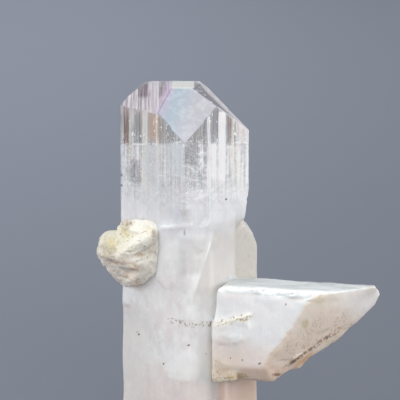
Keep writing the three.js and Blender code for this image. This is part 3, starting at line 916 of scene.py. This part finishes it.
def stem_tones(n):
    """Broad tones of the stem: a white corner under the matrix, a left side painted greyer as painted
    shade, painted light in the side crystal's shade, a pale heart.
    """
    corner = n.times(n.step(n.x, -5.9, -6.5), n.band(n.tier, 19.7, 1.0, 0.5))
    n.tint(n.times(corner, n.front), 0.9, WHITE)
    # Painted shade: the lower left side is painted greyer, as if less light fell on it.
    left = n.times(n.step(n.x, -3.6, -6.2), n.step(n.z, 20.0, 16.0))
    n.tint(left, 0.6, (0.73, 0.70, 0.67))
    # Painted light: the strip beside the side crystal, in its shade, is painted near white.
    seam = n.times(n.step(n.x, 1.0, 2.4), n.span(n.z, 21.5, 19.5, 8.0, 10.5))
    n.tint(n.times(seam, n.step(n.y, -3.0, -4.5)), 0.85, (1.0, 0.985, 0.95))
    under = n.times(n.step(n.tier, 12.5, 9.5), n.front, n.band(n.x, -1.6, 2.6, 1.6))
    n.tint(under, 0.55, (0.76, 0.68, 0.64))
    across = n.math("POWER", n.times(n.x, 0.42), 2.0)
    along = n.math("POWER", n.times(n.add(n.tier, -10.4), 0.58), 2.0)
    ragged = n.add(across, along, n.times(n.noise(0.8, 3, 19.0), 1.2))
    n.tint(n.times(n.step(ragged, 1.9, 1.3), n.step(n.y, 0.0, -2.0)), 0.68, (1.0, 0.99, 0.955))


def crown_colours(n):
    """The faces of the tip: the front kite painted bluish as a painted reflection, a painted iridescent
    fringe, the pink left one with dark bars, the dark bevel and a painted highlight on the flat top.
    """
    up = n.step(n.up, 0.15, 0.35)
    lines = n.step(n.noise((3.2, 0.10, 0.10), 4, 12.0, 0.7), 0.42, 0.58)
    n.colour = n.mix(up, n.colour, n.mix(lines, (0.62, 0.57, 0.59), (0.93, 0.90, 0.92)))
    n.cover(up, n.add(0.40, n.times(lines, 0.22)))
    left = n.times(up, n.step(n.x, -0.9, -1.3))
    n.tint(left, 0.75, n.mix(lines, (0.70, 0.60, 0.64), (0.92, 0.84, 0.88)))
    wobble = n.add(n.x, n.times(n.noise((2.0, 0.3, 0.3), 3, 53.0), 0.4))
    bars = n.math("MAXIMUM", n.band(wobble, -5.0, 0.60, 0.15), n.band(wobble, -2.5, 0.45, 0.15))
    dark = n.times(left, bars, n.times(n.step(n.tier, 43.9, 44.7), n.add(1.0, n.times(lines, -0.30))))
    n.colour = n.mix(dark, n.colour, (0.17, 0.13, 0.15))
    n.cover(dark, 0.92)
    n.cover(n.times(left, n.band(wobble, -3.55, 0.55, 0.15)), 0.60)
    # Painted reflection: the front kite is painted pale lavender to blue, as the reflection of the
    # light above.
    kite = facet(n, (0.0, -0.660, 0.751), (0.0, -8.706, 40.0))
    blue = n.step(n.add(n.x, n.times(n.z, -0.35)), -13.8, -17.0)
    flaw = n.step(n.noise(1.1, 4, 77.0, 0.65), 0.44, 0.66)
    n.cover(kite, n.add(0.36, n.times(flaw, 0.07)))
    n.colour = n.mix(kite, n.colour, n.mix(blue, (0.91, 0.88, 0.95), (0.70, 0.83, 0.94)))
    # Painted iridescence: a violet band along the kite's left edge.
    fringe = n.add(n.x, n.times(n.z, -0.42))
    painted_iridescence = n.times(n.band(fringe, -21.0, 0.20, 0.75), n.step(n.z, 41.4, 42.4))
    n.tint(n.times(painted_iridescence, up), 0.50, (0.88, 0.68, 0.90))
    dome = facet(n, (0.669, 0.0, 0.743), (8.0, 0.0, 40.35))
    n.tint(dome, 0.7, (0.86, 0.81, 0.84))
    n.cover(dome, 0.78)
    diagonal = n.band(n.add(n.x, n.times(n.tier, 0.98)), 46.45, 0.35, 0.35)
    diagonal = n.times(diagonal, up, n.times(n.step(n.x, 0.9, 1.3), n.invert(kite)))
    bevel = n.math("MAXIMUM", facet(n, (0.486, -0.106, 0.868), (1.0, -2.14, TOP_Z)), diagonal)
    dim = n.step(n.noise((1.8, 1.8, 0.9), 4, 15.0, 0.7), 0.54, 0.66)
    n.colour = n.mix(bevel, n.colour, n.mix(dim, (0.14, 0.12, 0.14), (0.80, 0.77, 0.80)))
    n.cover(bevel, n.add(0.85, n.times(dim, -0.35)))
    # Painted highlight: the flat top of the tip is painted yellowish white.
    top = n.times(n.step(n.z, TOP_Z - 0.08, TOP_Z - 0.03), n.band(n.x, -0.2, 1.3, 0.15))
    n.tint(top, 0.85, (0.95, 0.95, 0.82))
    n.cover(top, 0.7)


DANBURITE_IOR = 1.63
# Healed cracks and tubes lie inside the crystal, so only their contrast with it counts
INCLUSION_IOR = 1.3
MILKY_ROUGHNESS, CLEAR_ROUGHNESS = 0.50, 0.08


def milky_surface(n, rough, see, sugar):
    """Danburite, from waxy and milky to clear, with fine striations under a sugary grain."""
    fine = n.noise((3.0, 3.0, 0.08), 4, 2.0, 0.65)
    normal = n.bump(sugar, 0.45, 0.16, n.bump(fine, 0.45, 0.10))
    n.surface(
        Base_Color=n.colour,
        Roughness=rough,
        IOR=DANBURITE_IOR,
        Transmission_Weight=see,
        Subsurface_Weight=0.8,
        Subsurface_Radius=(1.0, 0.85, 0.8),
        Subsurface_Scale=1.1 * MM,
        Normal=normal,
    )
    return n.material


def stem_material():
    n = Nodes("danburite_stem")
    for layer in (milky_colour, upper_tones, stem_tones, side_colours, stem_specks):
        layer(n)
    sugar = n.noise((1.6, 1.6, 1.2), 5, 73.0, 0.68)
    return milky_surface(n, MILKY_ROUGHNESS, 0.0, sugar)


def head_material():
    n = Nodes("danburite_head")
    ragged = n.sway(4.5, (0.5, 0.5, 0.4), 4, 3.0, 0.6)
    clear = n.step(n.add(n.z, ragged), HAZE_LOW, HAZE_HIGH)

    # The clear head: thin white streaks, crackled flecks below the first fracture, then the stripes.
    streak = n.step(n.noise((2.4, 2.4, 0.06), 4, 21.0, 0.74), 0.44, 0.62)
    crackled = n.band(n.x, 1.30, 1.1, 0.6)
    fleck = n.step(n.noise((0.7, 0.7, 1.8), 3, 29.0, 0.56, 1.0), 0.44, 0.64)
    fleck = n.times(fleck, n.add(0.35, n.times(crackled, 0.65)))
    scrawl = n.band(n.noise((1.1, 1.1, 1.0), 3, 47.0, 0.6, 2.0), 0.50, 0.006, 0.014)
    shade = n.step(n.noise((0.8, 0.8, 0.6), 3, 31.0, 0.60, 0.8), 0.52, 0.64)
    cloudy = n.step(n.tier, 38.7, 38.2)
    lower = n.step(n.tier, 34.8, 32.5)
    streak = n.times(streak, n.add(1.0, n.times(lower, -0.75)))
    n.veil = n.add(0.24, n.times(streak, 0.40))
    misty = n.add(n.times(fleck, 0.40), n.times(crackled, -0.09), 0.28)
    n.veil = n.add(n.veil, n.times(cloudy, misty), n.times(lower, 0.16))
    n.colour = n.mix(streak, (0.93, 0.93, 0.945), (0.99, 0.98, 0.98))
    n.tint(n.times(shade, cloudy), 0.5, (0.60, 0.60, 0.63))
    stripes(n)
    sparks = n.step(n.noise((2.6, 2.6, 1.4), 2, 85.0, 0.5), 0.66, 0.70)
    sparks = n.times(sparks, n.step(n.tier, 38.4, 39.0))
    blush = n.times(n.step(n.tier, 41.6, 43.4), n.step(n.x, -1.6, -3.0))
    n.cover(n.times(blush, 0.75), 0.58)
    n.tint(blush, 0.65, (0.86, 0.76, 0.80))
    n.cover(sparks, 1.0)
    n.tint(sparks, 0.9, WHITE)
    scrawl = n.times(scrawl, n.step(n.tier, 41.0, 38.4))
    n.cover(n.times(scrawl, 0.8), 1.0)
    n.tint(scrawl, 0.8, WHITE)
    right = n.times(n.step(n.x, 2.4, 3.2), n.add(0.06, n.times(cloudy, 0.05)))
    n.veil = n.add(n.veil, right)
    threads(n)
    crown_colours(n)
    see = n.times(clear, n.invert(n.math("MINIMUM", n.veil, 1.0)))
    glassy = n.colour
    milky_colour(n)
    upper_tones(n)
    n.colour = n.mix(clear, n.colour, glassy)
    grains_by_place(n, HEAD_GRAINS)
    rough = n.add(n.times(clear, CLEAR_ROUGHNESS - MILKY_ROUGHNESS), MILKY_ROUGHNESS)
    sugar = n.times(n.noise((1.6, 1.6, 1.2), 5, 73.0, 0.68), n.invert(clear))
    return milky_surface(n, rough, see, sugar)


def cloud_material():
    n = Nodes("milky_cloud")
    mottle = n.noise((0.7, 0.7, 0.35), 4, 3.0)
    n.surface(
        Base_Color=n.mix(mottle, (0.82, 0.80, 0.83), (0.93, 0.93, 0.95)),
        Roughness=0.55,
        Subsurface_Weight=0.7,
        Subsurface_Radius=(1.0, 0.9, 0.9),
        Subsurface_Scale=1.2 * MM,
    )
    return n.material


def fracture_material():
    n = Nodes("healed_fractures")
    broken = n.step(n.noise(2.2, 4, 9.0), 0.42, 0.62)
    n.surface(
        Base_Color=(0.96, 0.96, 0.98),
        Roughness=0.25,
        IOR=INCLUSION_IOR,
        Transmission_Weight=n.add(0.75, n.times(broken, -0.75)),
    )
    return n.material


def streak_material():
    n = Nodes("growth_streaks")
    tone = n.noise((0.6, 0.6, 0.02), 2, 17.0)
    cream = n.mix(n.step(tone, 0.44, 0.52), (0.93, 0.91, 0.90), (0.80, 0.68, 0.55))
    broken = n.step(n.noise((1.8, 1.8, 0.5), 4, 5.0), 0.40, 0.60)
    n.surface(
        Base_Color=n.mix(n.step(tone, 0.53, 0.60), cream, (0.36, 0.20, 0.11)),
        Roughness=0.35,
        IOR=INCLUSION_IOR,
        Transmission_Weight=n.add(0.75, n.times(broken, -0.6)),
    )
    return n.material


# Stains on the lump: x, tier, half width, half height, strength, colour
OLIVE, RUST, SOIL = (0.66, 0.58, 0.28), (0.62, 0.42, 0.24), (0.36, 0.26, 0.17)
STAINS = (
    (-9.00, 26.0, 0.9, 1.0, 0.75, OLIVE),
    (-7.40, 27.3, 0.8, 0.7, 0.60, OLIVE),
    (-9.80, 24.6, 0.7, 0.5, 0.45, RUST),
    (-7.20, 28.6, 0.9, 0.4, 0.75, SOIL),
    (-3.80, 27.2, 0.3, 0.6, 0.55, SOIL),
    (-4.40, 27.9, 0.5, 0.4, 0.45, OLIVE),
    (-8.20, 23.6, 1.4, 0.3, 0.65, RUST),
    (-6.20, 23.0, 0.7, 0.6, 0.75, RUST),
    (-5.60, 24.6, 0.7, 0.3, 0.55, SOIL),
    (-5.80, 20.9, 0.45, 0.8, 0.85, RUST),
    (-7.10, 22.0, 0.5, 0.4, 0.35, RUST),
    (-4.30, 25.6, 0.3, 1.0, 0.15, SOIL),
)


def stains(n):
    shake = n.sway(4.0, 2.2, 4, 34.0, 0.7)
    mottle = n.step(n.noise(3.4, 4, 37.0, 0.7), 0.40, 0.58)
    for x, tier, half, tall, strength, shade in STAINS:
        away = n.add(oval(n, x, tier, half, tall), shake)
        share = n.times(n.step(away, 1.5, 0.0), n.add(0.25, n.times(mottle, 0.75)))
        n.tint(share, strength, shade)


def matrix_material():
    n = Nodes("matrix")
    n.colour = n.mix(n.noise(0.6, 3, 1.0), (0.86, 0.79, 0.64), (0.91, 0.87, 0.76))
    pale = n.cells(0.8, 6.0)
    n.tint(pale, 0.35, (0.96, 0.93, 0.84))
    low = n.times(n.step(n.tier, 25.2, 23.8), n.step(n.x, -4.8, -6.0))
    n.tint(low, 0.7, (0.96, 0.83, 0.74))
    green = n.step(n.noise(0.4, 3, 45.0), 0.42, 0.60)
    n.tint(n.times(green, n.step(n.tier, 24.6, 26.0)), 0.5, (0.87, 0.86, 0.68))
    # Painted shade: faces turned up are painted darker and yellower against the overhead light.
    n.tint(n.step(n.up, 0.2, 0.8), 0.55, (0.73, 0.69, 0.57))
    # Painted light: the right part, turned from the light, and the lower part, facing down, are painted
    # paler.
    n.tint(n.step(n.x, -7.6, -5.8), 0.75, (1.0, 0.935, 0.83))
    n.tint(n.times(n.step(n.tier, 23.6, 22.4), n.step(n.x, -8.4, -7.4)), 0.9, (1.0, 0.89, 0.78))
    bulge = n.times(n.step(n.x, -7.9, -9.2), n.step(n.tier, 24.4, 25.6))
    n.tint(bulge, 0.65, (0.68, 0.62, 0.49))
    stains(n)
    back = n.times(n.step(n.y, -1.0, 1.0), n.step(n.noise(0.75, 5, 11.0, 0.65), 0.48, 0.62))
    n.tint(back, 0.6, (0.66, 0.50, 0.32))
    worms = n.band(n.noise(1.3, 4, 63.0, 0.65, 1.0), 0.50, 0.006, 0.014)
    worms = n.times(worms, n.step(n.noise(0.8, 3, 67.0), 0.50, 0.60))
    n.tint(worms, 0.4, (0.52, 0.38, 0.22))
    n.tint(specks(n, 3.2, 0.64, 28.0), 0.75, (0.42, 0.32, 0.20))
    height = n.noise(2.2, 4, 5.0, 0.6)
    n.surface(
        Base_Color=n.colour,
        Roughness=0.6,
        Subsurface_Weight=0.5,
        Subsurface_Radius=(1.0, 0.85, 0.7),
        Subsurface_Scale=0.8 * MM,
        Normal=n.bump(height, 0.5, 0.14),
    )
    return n.material


def floor_material():
    n = Nodes("floor")
    # Painted light: the floor is painted lighter far away and darker towards the right, a painted
    # fall-off of light across the backdrop.
    far = n.step(n.y, -60.0, 600.0)
    grain = n.noise(0.02, 2)
    near_colour = n.mix(grain, (0.148, 0.162, 0.190), (0.154, 0.168, 0.197))
    colour = n.mix(far, near_colour, (0.340, 0.370, 0.430))
    right = n.step(n.x, -60.0, 90.0)
    n.surface(
        Base_Color=n.mix(n.times(right, 0.26), colour, (0.0, 0.0, 0.0)),
        Roughness=0.9,
    )
    return n.material


# ---------------------------------------------------------------- stage
FLOOR_HALF = 3000
FLOOR_CELLS = 24


def make_floor():
    bm = bmesh.new()
    bmesh.ops.create_grid(bm, x_segments=FLOOR_CELLS, y_segments=FLOOR_CELLS, size=FLOOR_HALF)
    floor = add_object("floor", bm)
    floor.data.materials.append(floor_material())


def area_light(name, place, size, power, colour):
    light = bpy.data.lights.new(name, "AREA")
    light.shape = "RECTANGLE"
    light.size, light.size_y = size
    light.energy = power
    light.color = colour
    obj = bpy.data.objects.new(name, light)
    obj.location = place
    obj.rotation_mode = "QUATERNION"
    obj.rotation_quaternion = (CAMERA_AIM - Vector(place)).to_track_quat("-Z", "Y")
    bpy.context.scene.collection.objects.link(obj)


# Soft boxes: name, place and size in metres, power in watts, colour
LIGHTS = (
    ("overhead", (-0.02, 0.0, 0.52), (0.50, 0.50), 1.5, (0.84, 0.91, 1.0)),
    ("left", (-0.50, -0.15, 0.20), (0.30, 0.45), 1.0, (1.0, 0.98, 0.95)),
    ("right", (0.50, -0.10, 0.18), (0.25, 0.45), 1.5, (1.0, 0.97, 0.93)),
    ("front", (0.08, -0.70, 0.18), (0.6, 0.5), 1.7, (1.0, 0.975, 0.93)),
)
WORLD_COLOUR = (0.50, 0.51, 0.54, 1)
WORLD_STRENGTH = 1.05


def make_world():
    world = bpy.data.worlds.new("studio")
    world.use_nodes = True
    background = world.node_tree.nodes["Background"]
    background.inputs["Color"].default_value = WORLD_COLOUR
    background.inputs["Strength"].default_value = WORLD_STRENGTH
    bpy.context.scene.world = world


def make_camera():
    camera = bpy.data.cameras.new("camera")
    camera.sensor_width = SENSOR
    camera.lens = SENSOR * CAMERA_DISTANCE / VIEW_WIDTH
    camera.clip_start, camera.clip_end = 0.01, 20
    obj = bpy.data.objects.new("camera", camera)
    back = Vector((0, -math.cos(CAMERA_ELEVATION), math.sin(CAMERA_ELEVATION)))
    obj.location = CAMERA_AIM + back * CAMERA_DISTANCE
    obj.rotation_mode = "QUATERNION"
    obj.rotation_quaternion = (-back).to_track_quat("-Z", "Y")
    bpy.context.scene.collection.objects.link(obj)
    bpy.context.scene.camera = obj


def settings():
    scene = bpy.context.scene
    scene.view_settings.view_transform = "Standard"
    scene.cycles.max_bounces = 24
    scene.cycles.transmission_bounces = 20
    scene.cycles.glossy_bounces = 12
    scene.cycles.use_denoising = True


# ---------------------------------------------------------------- the object
def dress(obj, materials, node):
    worn = [polygon.material_index for polygon in obj.data.polygons]
    obj.data.materials.clear()
    for material in materials:
        obj.data.materials.append(material)
    obj.data.polygons.foreach_set("material_index", worn)
    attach(obj, "root")
    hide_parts(node)


dress(make_crystals(), (head_material(), stem_material()), "danburite_crystals")
dress(make_cloud(), (cloud_material(),), "danburite_crystals")
dress(make_fractures(), (fracture_material(),), "danburite_crystals")
dress(make_streaks(), (streak_material(),), "danburite_crystals")
dress(make_matrix(), (matrix_material(),), "matrix_lump")
make_floor()
for light in LIGHTS:
    area_light(*light)
make_world()
make_camera()
settings()
